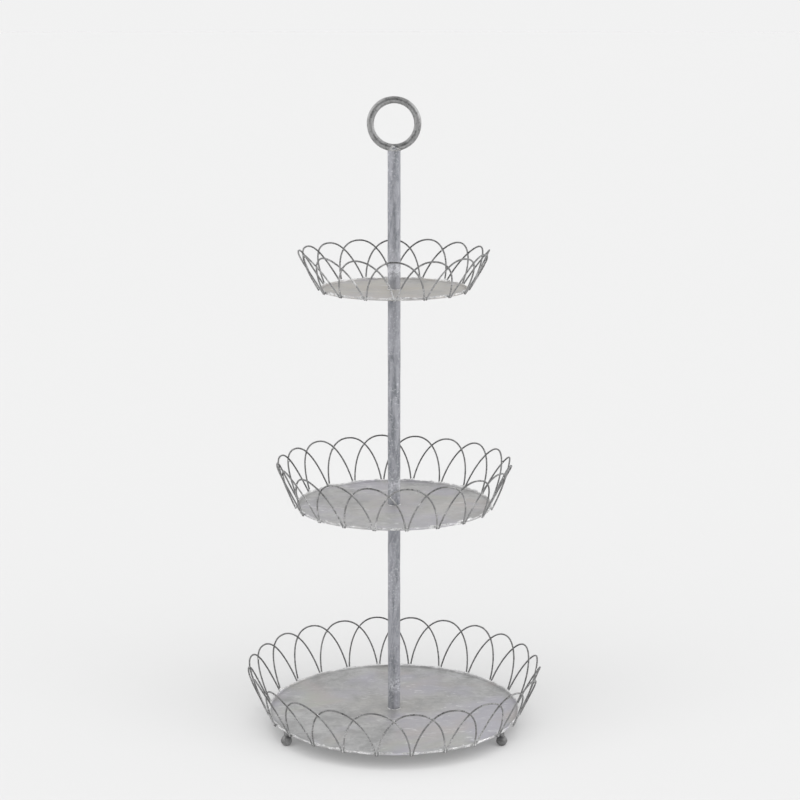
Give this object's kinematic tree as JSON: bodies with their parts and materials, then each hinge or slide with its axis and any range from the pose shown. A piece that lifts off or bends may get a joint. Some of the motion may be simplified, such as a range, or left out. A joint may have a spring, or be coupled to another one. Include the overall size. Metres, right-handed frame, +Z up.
{
  "type": "tiered cake stand",
  "caption": "Tiered cake stand: round lipped steel trays on a central tube, galleries of crossed wire hoops, a carrying ring on top and ball feet below.",
  "frame": {"origin": "on the ground under the middle of the central tube", "axes": "+Z up along the tube; the ring lies in the XZ plane and the front is towards -Y"},
  "size_m": [0.2994, 0.2994, 0.64],
  "materials": {
    "zinc_sheet": "galvanised sheet, dull grey with soft cloudy mottling",
    "zinc_tube": "galvanised tube, blue-grey with light and dark flecks",
    "zinc_ring": "galvanised round bar, grey with worn bright edges",
    "zinc_wire": "galvanised wire, dark grey with bright glints",
    "zinc_ball": "dark grey zinc over a cast ball",
    "steel_fastener": "bright zinc-plated steel"
  },
  "bodies": {
    "root": {"foot_ball_front_left": "zinc_ball", "foot_pin_front_left": "steel_fastener", "foot_ball_front_right": "zinc_ball", "foot_pin_front_right": "steel_fastener", "foot_ball_back": "zinc_ball", "foot_pin_back": "steel_fastener", "bottom_tray": "zinc_sheet", "middle_tray": "zinc_sheet", "top_tray": "zinc_sheet", "base_washer": "steel_fastener", "base_screw": "steel_fastener", "lower_tube": "zinc_tube", "lower_tube_bottom_plug": "steel_fastener", "lower_tube_top_plug": "steel_fastener", "middle_tube": "zinc_tube", "middle_tube_bottom_plug": "steel_fastener", "middle_tube_top_plug": "steel_fastener", "upper_tube": "zinc_tube", "upper_tube_bottom_plug": "steel_fastener", "middle_tray_stud": "steel_fastener", "top_tray_stud": "steel_fastener", "ring_spigot": "zinc_tube", "handle_ring": "zinc_ring", "bottom_hoop_pair_1": "zinc_wire", "bottom_hoop_pair_2": "zinc_wire", "bottom_hoop_pair_3": "zinc_wire", "bottom_hoop_pair_4": "zinc_wire", "bottom_hoop_pair_5": "zinc_wire", "bottom_hoop_pair_6": "zinc_wire", "bottom_hoop_pair_7": "zinc_wire", "bottom_hoop_pair_8": "zinc_wire", "bottom_hoop_pair_9": "zinc_wire", "bottom_hoop_pair_10": "zinc_wire", "bottom_hoop_pair_11": "zinc_wire", "bottom_hoop_pair_12": "zinc_wire", "middle_hoop_pair_1": "zinc_wire", "middle_hoop_pair_2": "zinc_wire", "middle_hoop_pair_3": "zinc_wire", "middle_hoop_pair_4": "zinc_wire", "middle_hoop_pair_5": "zinc_wire", "middle_hoop_pair_6": "zinc_wire", "middle_hoop_pair_7": "zinc_wire", "middle_hoop_pair_8": "zinc_wire", "middle_hoop_pair_9": "zinc_wire", "middle_hoop_pair_10": "zinc_wire", "top_hoop_pair_1": "zinc_wire", "top_hoop_pair_2": "zinc_wire", "top_hoop_pair_3": "zinc_wire", "top_hoop_pair_4": "zinc_wire", "top_hoop_pair_5": "zinc_wire", "top_hoop_pair_6": "zinc_wire", "top_hoop_pair_7": "zinc_wire", "top_hoop_pair_8": "zinc_wire"}
  },
  "joints": []
}
